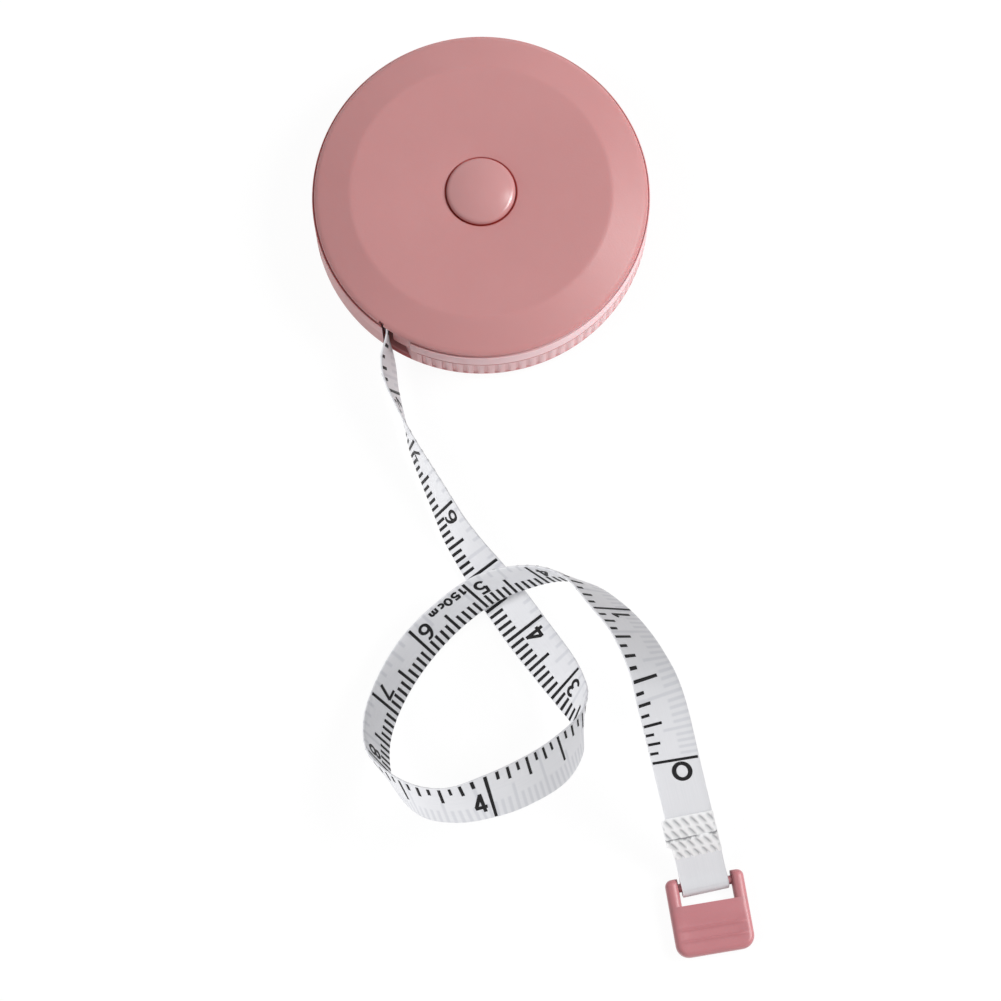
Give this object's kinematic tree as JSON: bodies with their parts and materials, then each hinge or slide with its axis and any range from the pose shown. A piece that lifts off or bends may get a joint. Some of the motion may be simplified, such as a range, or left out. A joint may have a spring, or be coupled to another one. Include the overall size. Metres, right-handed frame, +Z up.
{
  "type": "retractable tape measure",
  "caption": "Round palm-sized case with a centre button, a spring-wound reel behind a wall slot, and a printed cloth tape drawn out in a loose loop with a pull tab on its end.",
  "frame": {"origin": "centre of the rear face that the case lies on", "axes": "+Z up through the button, towards the front cover; -Y towards the drawn tape and its pull tab"},
  "size_m": [0.0604, 0.1281, 0.0246],
  "materials": {
    "case_plastic": "satin moulded",
    "inner_plastic": "moulded",
    "brake_rubber": "matte",
    "spring_steel": "bright",
    "tape_cloth": "coated cloth, printed"
  },
  "bodies": {
    "case": {"rear_case": "case_plastic", "front_cover": "case_plastic", "thrust_washer": "inner_plastic", "button_spring": "spring_steel"},
    "button": {"push_button": "case_plastic", "brake_plunger": "inner_plastic", "brake_pad": "brake_rubber"},
    "reel": {"reel_drum": "inner_plastic", "reel_flange": "inner_plastic", "spring_cover": "inner_plastic", "wound_tape": "tape_cloth", "tape_anchor": "inner_plastic", "mainspring": "spring_steel"},
    "tape": {"free_tape": "tape_cloth"},
    "tab": {"end_tab": "case_plastic"}
  },
  "joints": [
    {"name": "button_press", "type": "slide", "parent": "case", "child": "button", "axis": [0, 0, -1], "range_m": [0, 0.001], "stiffness_N_per_m": 400, "springref_m": -0.001, "deforming": ["button_spring"]},
    {"name": "reel_turn", "type": "hinge", "parent": "case", "child": "reel", "pos_m": [0, 0, 0], "axis": [0, 0, 1], "range_deg": [0, 38], "deforming": ["mainspring"]},
    {"name": "tape_pull", "type": "slide", "parent": "case", "child": "tape", "axis": [0.2943, -0.9557, 0], "range_m": [0, 0.012]},
    {"name": "tab_swing", "type": "hinge", "parent": "tape", "child": "tab", "pos_m": [0.0303, -0.0947, 0.00125], "axis": [-0.9863, -0.165, 0], "range_deg": [-90, 90]}
  ],
  "couplings": [
    {"joint": "tape_pull", "follows": "reel_turn", "m_per_rad": 0.01795}
  ]
}
